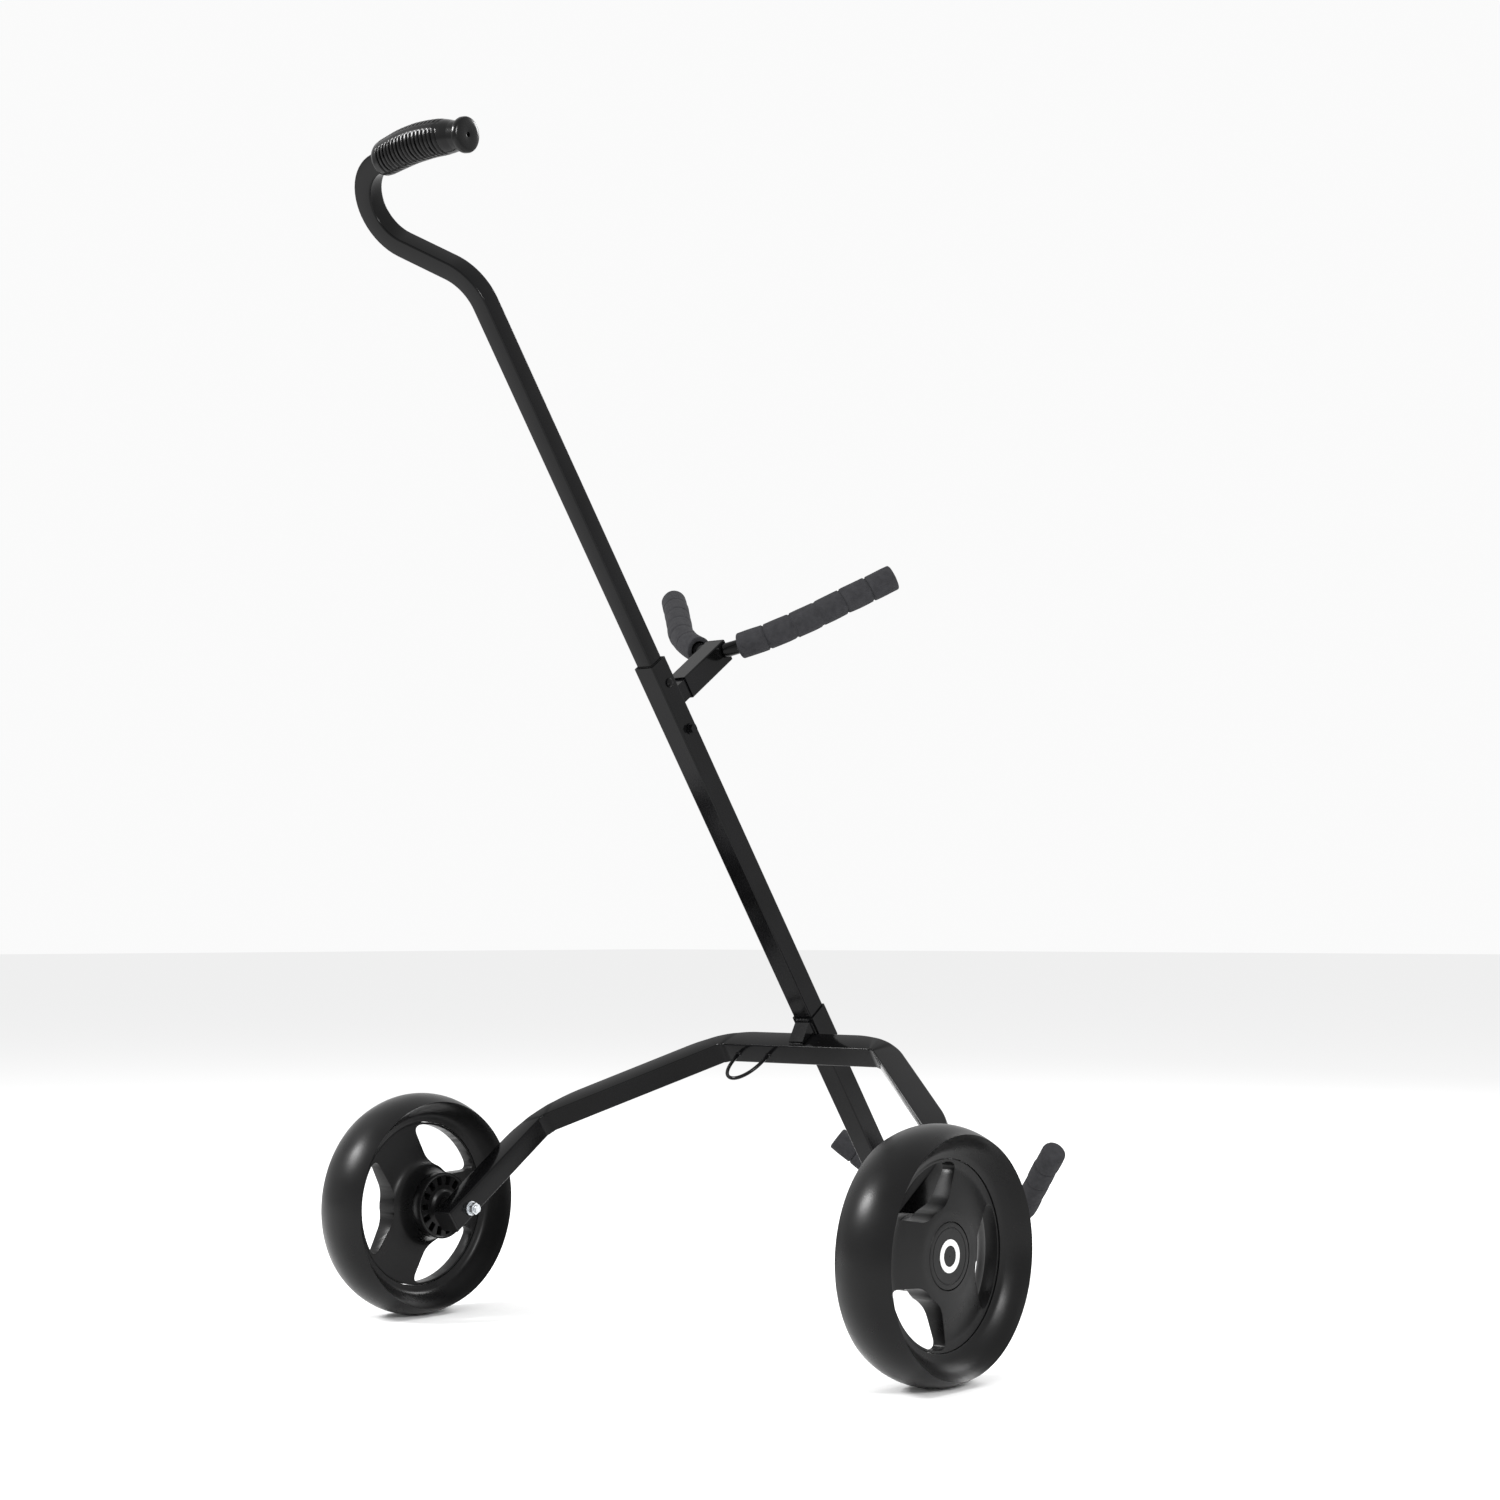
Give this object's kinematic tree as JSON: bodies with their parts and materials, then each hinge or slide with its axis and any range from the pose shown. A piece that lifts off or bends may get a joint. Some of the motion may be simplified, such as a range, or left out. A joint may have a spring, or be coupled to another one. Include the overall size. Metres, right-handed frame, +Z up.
{
  "type": "golf push trolley",
  "caption": "Push trolley for a golf bag: leaning square-tube spine with a telescoping swan-neck handle, bent axle frame, wide spoked wheels and foam-covered cradle arms.",
  "frame": {"origin": "on the floor, under the middle of the whole trolley's box", "axes": "+Z up; +Y points ahead, to the bag side, and -Y to the person pushing; X runs along the axle, with the grip's free end towards +X"},
  "size_m": [0.794, 0.9866, 1.2193],
  "materials": {
    "black_paint": "gloss black powder coat",
    "black_plastic": "satin moulded",
    "wheel_plastic": "satin moulded",
    "grip_plastic": "glossy, ribbed",
    "foam": null,
    "zinc": "zinc plated",
    "emblem": "printed ring"
  },
  "bodies": {
    "frame": {"main_tube": "black_paint", "height_screw_upper": "black_paint", "height_screw_lower": "black_paint", "height_screw_washer": "black_paint", "spine_collar": "black_paint", "collar_gusset": "black_paint", "axle_frame": "black_paint", "hanging_loop": "black_paint", "upper_bracket_stub": "black_paint", "upper_bracket_box": "black_paint", "upper_arm_rod_left": "black_paint", "upper_arm_rod_right": "black_paint", "lower_bracket_stub": "black_paint", "lower_bracket_box": "black_paint", "lower_arm_rod_left": "black_paint", "lower_arm_rod_right": "black_paint", "main_tube_guide_bush": "black_plastic", "main_tube_foot": "black_plastic", "leg_end_cap_left": "black_plastic", "leg_end_cap_right": "black_plastic", "upper_bracket_plug": "black_plastic", "lower_bracket_plug": "black_plastic", "axle_spacer_left": "black_plastic", "axle_spacer_right": "black_plastic", "upper_arm_foam_left": "foam", "upper_arm_foam_right": "foam", "lower_arm_foam_left": "foam", "lower_arm_foam_right": "foam", "axle_bolt_left": "zinc", "axle_washer_left": "zinc", "axle_nut_left": "zinc", "axle_bolt_right": "zinc", "axle_washer_right": "zinc", "axle_nut_right": "zinc"},
    "handle": {"handle_tube": "black_paint", "handle_tube_end_plug": "black_plastic", "handle_grip": "grip_plastic", "handle_grip_end": "grip_plastic"},
    "wheel_left": {"tyre_left": "wheel_plastic", "wheel_disc_left": "wheel_plastic", "hub_ring_left": "wheel_plastic", "hub_bush_left": "wheel_plastic", "hub_cap_left": "wheel_plastic", "hub_cap_ring_left": "emblem"},
    "wheel_right": {"tyre_right": "wheel_plastic", "wheel_disc_right": "wheel_plastic", "hub_ring_right": "wheel_plastic", "hub_bush_right": "wheel_plastic", "hub_cap_right": "wheel_plastic", "hub_cap_ring_right": "emblem"}
  },
  "joints": [
    {"name": "wheel_left_spin", "type": "hinge", "parent": "frame", "child": "wheel_left", "pos_m": [-0.364, -0.11869, 0.125], "axis": [1, 0, 0], "continuous": true},
    {"name": "wheel_right_spin", "type": "hinge", "parent": "frame", "child": "wheel_right", "pos_m": [0.364, -0.11869, 0.125], "axis": [1, 0, 0], "continuous": true},
    {"name": "handle_slide", "type": "slide", "parent": "frame", "child": "handle", "axis": [0, -0.5835, 0.8121], "range_m": [-0.33, 0]}
  ]
}
